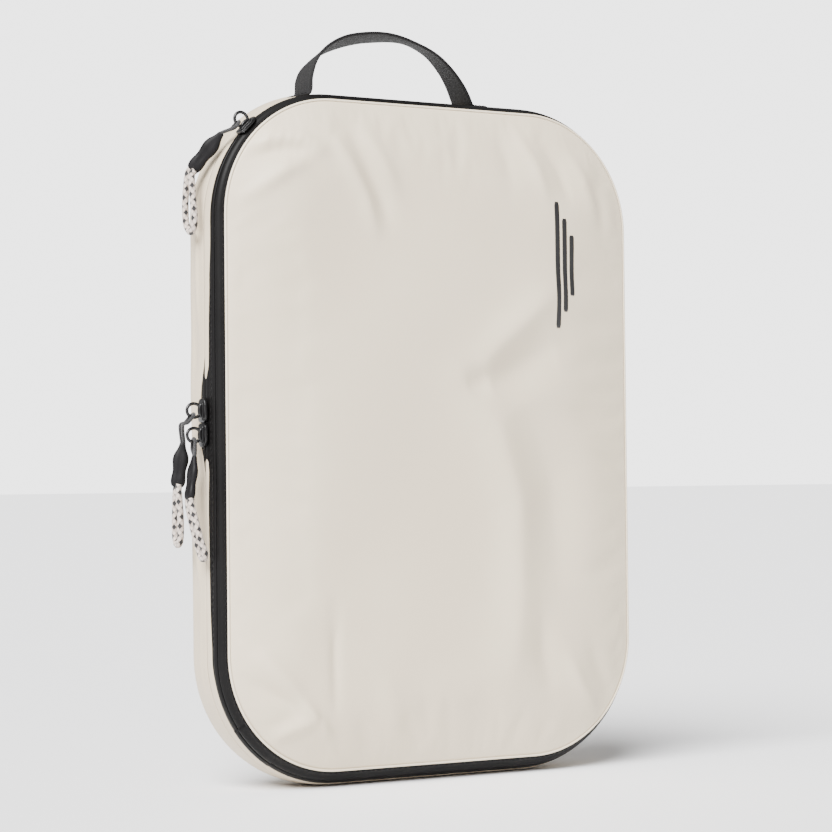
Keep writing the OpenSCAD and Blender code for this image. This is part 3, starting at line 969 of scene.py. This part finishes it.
# Folds on the front panel: route as (x, z), height and width. The pinch on the right has
# ridges running up and down from it; the corners hold short puckers.
FRONT_FOLDS = [
    ([(12, 209), (19, 213), (27, 214)], -1.5, 7),
    ([(13, 211), (34, 232), (54, 249), (70, 262)], 1.7, 9),
    ([(12, 212), (31, 188), (44, 148), (44, 95), (40, 56)], 2.1, 13),
    ([(27, 212), (46, 222), (70, 232)], -1.9, 12),
    ([(50, 200), (68, 160), (72, 100)], -1.7, 20),
    ([(-112, 332), (-96, 337), (-82, 336), (-72, 331)], 1.5, 2.9),
    ([(-108, 326), (-92, 330), (-76, 326)], -1.1, 3.6),
    ([(-72, 331), (-92, 321), (-113, 306)], 1.3, 4.2),
    ([(-66, 340), (-58, 325), (-48, 308), (-42, 290)], 1.3, 4.4),
    ([(-56, 342), (-47, 326), (-38, 308), (-34, 294)], -1.0, 4.8),
    ([(-47, 343), (-38, 327), (-29, 309)], 0.8, 5),
    ([(36, 344), (42, 332), (44, 318)], -0.6, 6),
    ([(50, 345), (59, 331), (66, 313)], 1.0, 5),
    ([(66, 342), (76, 328), (82, 312)], -0.9, 5),
    ([(84, 336), (93, 323), (100, 304)], 1.0, 4.5),
    ([(98, 322), (104, 309), (107, 292)], -0.6, 4),
    ([(-112, 74), (-97, 59), (-84, 42)], 1.1, 4.6),
    ([(-116, 60), (-100, 50), (-84, 40)], -1.0, 4),
    ([(-103, 27), (-92, 32), (-78, 37)], 1.7, 2.7),
    ([(-78, 37), (-82, 41), (-88, 45)], 1.5, 2.6),
    ([(-78, 37), (-74, 33), (-71, 28)], 1.1, 2.6),
    ([(-68, 98), (-68.5, 70), (-68, 40)], -0.7, 2.8),
    ([(-40, 60), (-34, 40), (-30, 22)], 0.4, 9),
    ([(58, 86), (60, 66), (67, 44)], -1.1, 8),
    ([(76, 62), (87, 45), (99, 31)], 1.2, 5),
    ([(92, 68), (101, 53), (109, 42)], -0.9, 4.5),
    ([(30, 40), (46, 28), (62, 18)], 0.5, 7),
]
BACK_FOLDS = [
    ([(-96, 322), (-70, 300), (-40, 286)], 0.9, 8),
    ([(-104, 306), (-84, 284), (-66, 262)], -0.7, 7),
    ([(94, 326), (72, 308), (50, 300)], 0.8, 8),
    ([(104, 304), (88, 280), (78, 254)], -0.7, 8),
    ([(-100, 44), (-74, 62), (-46, 70)], 0.9, 8),
    ([(-106, 62), (-90, 86), (-82, 112)], -0.6, 8),
    ([(98, 42), (74, 58), (44, 64)], 0.8, 9),
    ([(106, 64), (92, 92), (86, 122)], -0.6, 8),
    ([(-30, 200), (0, 184), (34, 176)], -0.8, 22),
    ([(-6, 330), (0, 300), (-8, 270)], 0.5, 14),
]


def crown(x, z, s, high, reach, reach_right, folds):
    """How far the panel stands out: a soft crown, the folds, and faint waves along the seam."""
    d = edge_distance(x, z, s)
    span = reach + (reach_right - reach) * smoothstep(-10, 70, x)
    rise = high * (1 - (1 - np.clip(d / span, 0, 1)) ** 2.5)
    hold = smoothstep(0, 7, d)
    for route, height, width in folds:
        rise = rise + FOLD_GAIN * hold * fold(x, z, route, height, width)
    around = np.arctan2(z - mid_z, x)
    wave = np.sin(around * 37 + 1.5 * np.sin(around * 5)) * np.sin(around * 11 + 0.6)
    rise += 0.28 * wave * smoothstep(0.5, 5, d) * (1 - smoothstep(6, 22, d))
    broad = np.sin(x / 31 + 0.4) * np.sin(z / 43 + 0.9) + 0.5 * np.sin(x / 17 - z / 26)
    return rise + 0.7 * broad * smoothstep(14, 50, d)


FABRIC = dict(
    quality=6, mass=0.25, tension_stiffness=22, compression_stiffness=22, shear_stiffness=9,
    bending_stiffness=2.2, pin_stiffness=1, shrink_min=-0.006, uniform_pressure_force=3.0,
)


def line_sheet(obj, thickness):
    """The sheet thickened inwards, with its second material on the inner face."""
    modify(
        obj, "SOLIDIFY", thickness=thickness * MM, offset=-1, material_offset=1, material_offset_rim=0
    )
    apply_modifiers(obj)


def pressed_fabric(obj, rim_group, most, frames=20):
    """Cloth held along its rim and pressed out from inside; each point moves at most this far."""
    start = np.empty(len(obj.data.vertices) * 3)
    obj.data.vertices.foreach_get("co", start)
    cloth = modify(obj, "CLOTH")
    settings = cloth.settings
    settings.vertex_group_mass = rim_group
    settings.use_pressure = True
    settings.effector_weights.gravity = 0
    for key, value in FABRIC.items():
        setattr(settings, key, value)
    cloth.collision_settings.use_collision = False
    cloth.point_cache.frame_start, cloth.point_cache.frame_end = 1, frames
    scene = bpy.context.scene
    for step in range(1, frames + 1):
        scene.frame_set(step)
    apply_modifiers(obj)
    scene.frame_set(1)
    moved = np.empty_like(start)
    obj.data.vertices.foreach_get("co", moved)
    shift = (moved - start).reshape(-1, 3)
    size = np.linalg.norm(shift, axis=1)[:, None]
    shift *= most * MM / np.maximum(size + most * MM, 1e-12)
    obj.data.vertices.foreach_set("co", (start.reshape(-1, 3) + shift).ravel())
    obj.data.update()


def make_panel(name, s, facing, high, reach, reach_right, folds, outside, node, body):
    """A crowned panel sewn in along its rim, with a lining on its inner face."""
    x, z, level = panel_grid(s)
    rise = crown(x, z, s, high, reach, reach_right, folds)
    y = s + front_y + facing * rise
    count = GRID + 1
    points = np.stack([x, y, z], axis=-1).reshape(-1, 3)
    faces = lattice_faces(count, count, False, False)
    if facing > 0:
        faces = [tuple(reversed(f)) for f in faces]
    mesh = new_mesh(name, points, faces, outside, lining_cloth)
    obj = add_object(name, mesh)
    if mesh.polygons[0].normal.y * facing < 0:
        mesh.flip_normals()
    group = obj.vertex_groups.new(name="rim")
    for i, value in enumerate(level.ravel()):
        if value > RIM_HOLD:
            group.add([i], float(smoothstep(RIM_HOLD, 1.0, value)), "REPLACE")
    pressed_fabric(obj, "rim", MOST_PRESSED)
    modify(obj, "SUBSURF", levels=1, render_levels=1)
    apply_modifiers(obj)
    line_sheet(obj, PANEL_THICK)
    attach(obj, body, node)
    return obj


front = make_panel(
    "front_shell", 0.0, -1, 11.0, 46, 82, FRONT_FOLDS, panel_cloth,
    "front_panel", "lid_front",
)
make_panel(
    "back_shell", 40.3, 1, 7.0, 52, 52, BACK_FOLDS, panel_cloth,
    "back_panel", "rear_case",
)

# ---------------- printed mark
MARK_X, MARK_STEP, MARK_Z = 72.0, 5.0, mid_z + 94
MARK_LENGTHS = [69.0, 51.0, 33.0]
MARK_WIDTH = 3.2


def make_mark():
    """Three plain upright bars printed on the front panel, following its surface."""
    mesh = front.data
    tree = BVHTree.FromPolygons([v.co for v in mesh.vertices], [p.vertices for p in mesh.polygons])
    bars = []
    for k, length in enumerate(MARK_LENGTHS):
        rows, across = 40, 7
        points, faces = [], []
        for layer in (0.14, -0.3):
            for i in range(rows):
                t = -1 + 2 * i / (rows - 1)
                half = MARK_WIDTH / 2 * (1 - max(0, abs(t) - 0.97) / 0.03 * 0.35)
                for j in range(across):
                    x = MARK_X + MARK_STEP * k + half * (-1 + 2 * j / (across - 1))
                    z = MARK_Z + t * length / 2
                    hit = tree.ray_cast(Vector((x, -150, z)) * MM, Vector((0, 1, 0)))[0]
                    points.append((x, hit.y / MM - layer, z))
        sheet = rows * across
        for i in range(rows - 1):
            for j in range(across - 1):
                a = i * across + j
                faces.append((a, a + 1, a + across + 1, a + across))
                faces.append((sheet + a, sheet + a + across, sheet + a + across + 1, sheet + a + 1))
        rim = list(range(across)) + [i * across + across - 1 for i in range(1, rows)]
        rim += [(rows - 1) * across + j for j in reversed(range(across - 1))]
        rim += [i * across for i in reversed(range(1, rows - 1))]
        faces += [(a, sheet + a, sheet + b, b) for a, b in zip(rim, rim[1:] + rim[:1])]
        bars.append(new_object("bar", points, faces, ink))
    attach(join("front_bars", bars), "lid_front", "front_mark")


make_mark()

# ---------------- side wall
SLIDER_GAP = (171.0, 214.0)  # the wall fabric is drawn back from the sliders between these heights
TOP_GAP = (-46.0, 58.0)  # and from the zipper between these distances across the top
EDGE_BY_HEIGHT = [  # where the pale facing begins on the left, as (height, depth)
    (58, 9.8), (73, 11.2), (95, 12.6), (124, 12.9), (148, 13.6),
    (166, 12.6), (240, 12.1), (256, 11.4), (283, 9.3), (296, 8.9),
]


def drawn_back():
    """1 where the fabric is drawn back from the access zipper, 0 elsewhere, round the outline."""
    p = skin(ACCESS_S)
    left = (p[:, 0] < -half_width * 0.9) * (
        smoothstep(SLIDER_GAP[0] - 5, SLIDER_GAP[0] + 7, p[:, 2])
        - smoothstep(SLIDER_GAP[1] - 7, SLIDER_GAP[1] + 7, p[:, 2])
    )
    top = (p[:, 2] > mid_z + half_height * 0.9) * (
        smoothstep(TOP_GAP[0] - 26, TOP_GAP[0] + 10, p[:, 0])
        - smoothstep(TOP_GAP[1] - 10, TOP_GAP[1] + 10, p[:, 0])
    )
    return left + top


BARE = drawn_back()


LID_EDGE = ACCESS_S - 0.25  # where the lid's facing ends, just in front of the zipper line
WALL_EDGE = ACCESS_S + 0.25  # where the wall's fabric begins, just behind it
HINGE_EDGE = 19.8  # where it begins behind the hinge strip
DRAWN_BACK = 4.4  # how far back it lies beside the sliders


def facing_start():
    """Where the pale facing on the lid begins, as a depth at each point round the outline."""
    p = skin(ACCESS_S)
    heights, depths = zip(*EDGE_BY_HEIGHT)
    side = np.interp(p[:, 2], heights, depths)
    level = np.where(p[:, 0] < -50, side, 10.4)
    level = np.where((p[:, 2] < 60) & (p[:, 0] > -60), 10.2, level)
    soft = soften(level, np.hanning(9), "wrap")
    return soft + (LID_EDGE - soft) * BARE


def make_facing():
    """The pale facing over the lid's half of the access zipper."""
    start = facing_start()
    width = LID_EDGE - start
    drop = -0.9 * (1 - smoothstep(0.6, 1.6, width))
    outer = [
        (0.0, -0.18), (0.06, 0.04), (0.16, 0.12), (0.4, 0.14), (0.8, 0.12), (0.94, 0.06), (1.0, -0.14),
    ]
    inner = [(1.0, -0.38), (0.5, -0.3), (0.0, -0.4)]
    rows = [skin(start + width * t, off + drop)[OPEN] for t, off in outer + inner]
    piece = loft("lid_facing", rows, shaded_wall_cloth, wrap_rows=True, wrap_columns=False, caps=True)
    attach(piece, "lid_frame")


make_facing()


def stitch_visible_tape():
    """Stitches along the lid's band, wherever the pale facing leaves them in sight."""
    shown = facing_start() > 10.95
    runs, run = [], []
    for i in list(range(RIM_COUNT)) + [None]:
        if i is not None and shown[i]:
            run.append(i)
        elif run:
            runs.append(run)
            run = []
    for k, run in enumerate(r for r in runs if len(r) > 4):
        name = f"lid_tape_stitches_{k}"
        stitch_row(name, 10.2, 0.08, dark_thread, "lid_frame", "zipper_tape", run, width=0.42)


stitch_visible_tape()

# Soft dents and folds in the left wall: depth, width, lowest and highest z, height.
LEFT_FOLDS = [
    (23.2, 2.4, 104, 182, 1.5),
    (28.5, 3.2, 112, 176, -0.9),
    (22.6, 2.2, 232, 310, 1.0),
    (27.0, 3.2, 206, 262, -0.8),
    (27.0, 4.0, 60, 118, -0.5),
    (20.0, 2.6, 46, 100, 0.45),
]


def wall_relief(s, t):
    """Height of the wall's dents and folds at the depths s, a share t of the way across it."""
    p = skin(s)
    run = distances(p)
    wave = 0.35 * np.sin(run / 23 + s / 7) * np.sin(run / 41 + 1.3)
    wave = wave + 0.22 * np.sin(run / 11 + 2.1 * np.sin(run / 60))
    relief = wave * math.sin(math.pi * np.clip(t, 0, 1)) ** 0.8
    left = p[:, 0] < -half_width * 0.8
    for middle, width, low, high, size in LEFT_FOLDS:
        span = smoothstep(low, low + 16, p[:, 2]) * (1 - smoothstep(high - 16, high, p[:, 2]))
        relief = relief + left * size * span * np.exp(-(((s - middle) / width) ** 2))
    faint = np.clip(relief, -0.06, 0.03)
    return faint + (np.maximum(relief, -0.9) - faint) * smoothstep(20.8, 23.0, s)


def make_wall():
    """The side wall's fabric from the access zipper to the back seam, lined inside."""
    p = skin(ACCESS_S)
    hinge_side = (p[:, 0] > half_width * 0.9) & (np.abs(p[:, 2] - mid_z) < hinge_half + 2)
    start = np.where(hinge_side, HINGE_EDGE, WALL_EDGE + DRAWN_BACK * BARE)
    start = soften(start, [1, 2, 1], "wrap")
    rows = []
    steps = 34
    for k in range(steps + 1):
        t = k / steps
        s = start + (BACK_S - start) * t
        lip = -0.25 * math.exp(-k / 1.2)
        rows.append(skin(s, 0.12 + lip + wall_relief(s, t)))
    wall = loft("side_wall", rows, shaded_wall_cloth)
    wall.data.materials.append(lining_cloth)
    if wall.data.polygons[len(rows) // 2 * RIM_COUNT].normal.x < 0:
        wall.data.flip_normals()
    line_sheet(wall, WALL_THICK)
    attach(wall, "rear_case", "rear_gusset")


make_wall()


# ---------------- fabric across the joints
def make_hinge_strip():
    """The fabric strip that the lid turns on, from the side wall to the lid's band."""
    side = [i for i in RIGHT_SIDE if abs(ABOVE_MIDDLE[i]) <= hinge_half + 1]
    s = np.linspace(10.9, 21.5, 22)
    top = [(a, 0.02 - 0.35 * math.exp(-(((a - 12.2) / 0.9) ** 2))) for a in s]
    base = [(a, -0.75) for a in s[::-1]]
    rows = [skin(a, off)[side] for a, off in top + base]
    strip = loft("hinge_fabric", rows, tape_cloth, wrap_rows=True, wrap_columns=False, caps=True)
    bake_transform(strip)
    attach(strip, None, "hinge_strip")


def make_bellows():
    """The folded gusset that opens out when the compression zipper is undone."""
    folds = [
        (10.2, -3.4), (9.8, -5.2), (8.9, -7.4), (8.2, -9.6), (7.6, -10.6), (7.0, -9.8),
        (6.4, -7.6), (5.8, -6.2), (5.2, -7.6), (4.6, -9.8), (4.0, -10.6), (3.4, -9.8),
        (2.8, -7.4), (2.0, -5.0), (1.2, -3.6), (0.9, -2.6),
    ]
    rows = [skin(s, off) for s, off in folds]
    bellows = loft("expansion_bellows", rows, lining_cloth)
    modify(bellows, "SUBSURF", levels=1, render_levels=1)
    modify(bellows, "SOLIDIFY", thickness=BELLOWS_THICK * MM, offset=0)
    apply_modifiers(bellows)
    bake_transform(bellows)
    attach(bellows, None, "expansion_gusset")


make_hinge_strip()
make_bellows()


def make_end_stops():
    """Bartacked stops at both ends of the access zipper."""
    stops = []
    hw = size_at(ACCESS_S + 2)[0]
    for side in (-1, 1):
        centre = mid_z + side * (hinge_half - 2)
        outline = rounded([(-2.1, -1.4), (2.1, -1.4), (2.1, 1.4), (-2.1, 1.4)], 0.7)
        stop = bevelled_prism("stop", outline, -0.9, 0.55, 0.25, coil_plastic)
        spin = Matrix.Rotation(math.radians(90), 4, "Z")
        stop.data.transform(turned_place(hw, ACCESS_S + 2.4 + front_y, centre, 90) @ spin)
        stops.append(stop)
    attach(join("end_stops", stops), "rear_case", "access_end_stops")


def make_join_patches():
    """Short cover patches over the join in the compression zipper, at the lower left corner."""
    arc = [i for i in range(RIM_COUNT) if abs(math.degrees(RIM_ANGLE[i]) - 225) < 12]
    for name, start, stop, ridge_at, node, body in (
        ("join_patch_front", 1.2, 5.9, COMPRESSION_S - 1.3, "zip_join_front", "lid_front"),
        ("join_patch_rear", 6.9, 10.0, COMPRESSION_S + 1.3, "zip_join_rear", "lid_frame"),
    ):
        s = np.linspace(start, stop, 9)
        ridge = 0.62 * np.exp(-(((s - ridge_at) / 1.7) ** 4))
        section = [(a, 0.3 + r) for a, r in zip(s, ridge)]
        section += [(a, r - 0.2) for a, r in zip(s[::-1], ridge[::-1])]
        patch = sweep(name, section, tape_cloth, arc)
        attach(patch, body, node)


make_end_stops()
make_join_patches()

# ---------------- webbing handle
HANDLE_ROUTE = [  # the middle of the webbing, as (x, z), from tab to tab
    (-76, 361.3), (-71, 362.4), (-67.6, 363.5), (-66.3, 366), (-65.8, 372.6), (-62.4, 380.3),
    (-54.6, 388.2), (-43.5, 393.8), (-28.9, 397.3), (-15.5, 398.2), (-4.5, 397.3), (5, 394.8),
    (14, 390.2), (21.8, 383.1), (27.4, 375.6), (30.6, 369.6), (32.2, 366), (33.6, 363.7),
    (37, 363.4), (42, 363.4),
]
HANDLE_ROLL = [  # its twist, as (share of the length, degrees)
    (0, 0), (0.14, 0), (0.2, 11), (0.33, 15), (0.5, 5),
    (0.62, -12), (0.72, -12), (0.84, -5), (0.9, 0), (1, 0),
]
WEB_WIDTH, WEB_THICK = 20.0, 1.5


def make_handle():
    """One length of webbing: sewn tab, arch with a slight twist, sewn tab."""
    path = smooth_path([(x, 0, z) for x, z in HANDLE_ROUTE], 1.4)
    count = len(path)
    tangent = unit(np.gradient(path, axis=0))
    along = np.linspace(0, 1, count)
    roll = soften(np.radians(np.interp(along, *zip(*HANDLE_ROLL))), np.hanning(13)[1:-1])
    y = np.array([0.0, 1.0, 0.0])
    normal = np.cross(y, tangent)
    cos, sin = np.cos(roll)[:, None], np.sin(roll)[:, None]
    wide = y * cos + normal * sin
    thin = normal * cos - y * sin
    width, thick = WEB_WIDTH / 2, WEB_THICK / 2
    u = np.linspace(-1, 1, 17)
    top = [(width * a, thick * (1 - 0.75 * max(0, abs(a) - 0.9) / 0.1)) for a in u]
    base = [(a, -b) for a, b in reversed(top)]
    section = top + base
    cup = 0.35
    rows = []
    for i in range(count):
        bow = [cup * (1 - (a / width) ** 2) * math.sin(math.pi * along[i]) for a, _ in section]
        rows.append([path[i] + a * wide[i] + (b + w) * thin[i] for (a, b), w in zip(section, bow)])
    sides = len(section)
    web = capped("handle_strap", rows, webbing_cloth)
    run = distances(path) * MM
    layer = web.data.uv_layers.new(name="UVMap")
    for loop in web.data.loops:
        v = loop.vertex_index
        layer.data[loop.index].uv = (run[v // sides], section[v % sides][0] * MM)
    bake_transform(web)
    attach(web, None, "handle_webbing", ("handle_tab_left", "handle_tab_right"))
    for name, low, high, low_z, high_z in (
        ("left_box_stitch", -75, -68.8, 361.5, 363.1), ("right_box_stitch", 35, 41, 363.4, 363.4),
    ):
        edge = WEB_WIDTH / 2 - 2
        corners = [(0, -1), (1, -1), (1, 1), (0, 1), (0, -1), (1, 1), (1, -1), (0, 1)]
        path = np.array([
            (low + (high - low) * a, edge * b, low_z + (high_z - low_z) * a + WEB_THICK / 2)
            for a, b in corners
        ])
        pieces = [np.linspace(p, q, 8, endpoint=False) for p, q in zip(path, path[1:])]
        fine = np.vstack([*pieces, path[-1:]])
        up = np.tile([0.0, 0.0, 1.0], (len(fine), 1))
        row = stitches(name, fine, up, dark_thread, pitch=2.4, length=1.8, width=0.5, closed=False)
        attach(row, "rear_case")


make_handle()

# ---------------- floor and light
SOFT_STRENGTH, BACKDROP_STRENGTH = 0.4, 3.4
KEY_FROM, KEY_STRENGTH, KEY_SOFTNESS = (-0.58, -0.4, 0.7), 11.5, 40  # softness in degrees
FLOOR_HALF = 30000


def make_floor():
    floor_material = Nodes("pale_floor")
    grain = floor_material.noise(400, 2, 0.5)
    floor_material.finish(
        Base_Color=floor_material.mix(grain, rgb(246, 246, 247), rgb(243, 243, 244)), Roughness=0.85
    )
    points = [(x * FLOOR_HALF, y * FLOOR_HALF, 0) for x, y in ((-1, -1), (1, -1), (1, 1), (-1, 1))]
    floor = new_object("floor", points, [(0, 1, 2, 3)], floor_material.material, smooth=False)


def make_light():
    """Soft white light from all round, a brighter white behind the scene, and one broad sun."""
    world = bpy.data.worlds.new("studio")
    world.use_nodes = True
    tree = world.node_tree
    soft, backdrop = tree.nodes["Background"], tree.nodes.new("ShaderNodeBackground")
    for node, strength in ((soft, SOFT_STRENGTH), (backdrop, BACKDROP_STRENGTH)):
        node.inputs["Color"].default_value = (1, 1, 1, 1)
        node.inputs["Strength"].default_value = strength
    seen, choice = tree.nodes.new("ShaderNodeLightPath"), tree.nodes.new("ShaderNodeMixShader")
    outputs = (seen.outputs["Is Camera Ray"], soft.outputs[0], backdrop.outputs[0])
    for output, socket in zip(outputs, choice.inputs):
        tree.links.new(output, socket)
    tree.links.new(choice.outputs[0], tree.nodes["World Output"].inputs["Surface"])
    bpy.context.scene.world = world
    light = bpy.data.lights.new("key", "SUN")
    light.energy, light.angle = KEY_STRENGTH, math.radians(KEY_SOFTNESS)
    add_object("key", light).rotation_euler = Vector(KEY_FROM).to_track_quat("Z", "Y").to_euler()


make_floor()
make_light()
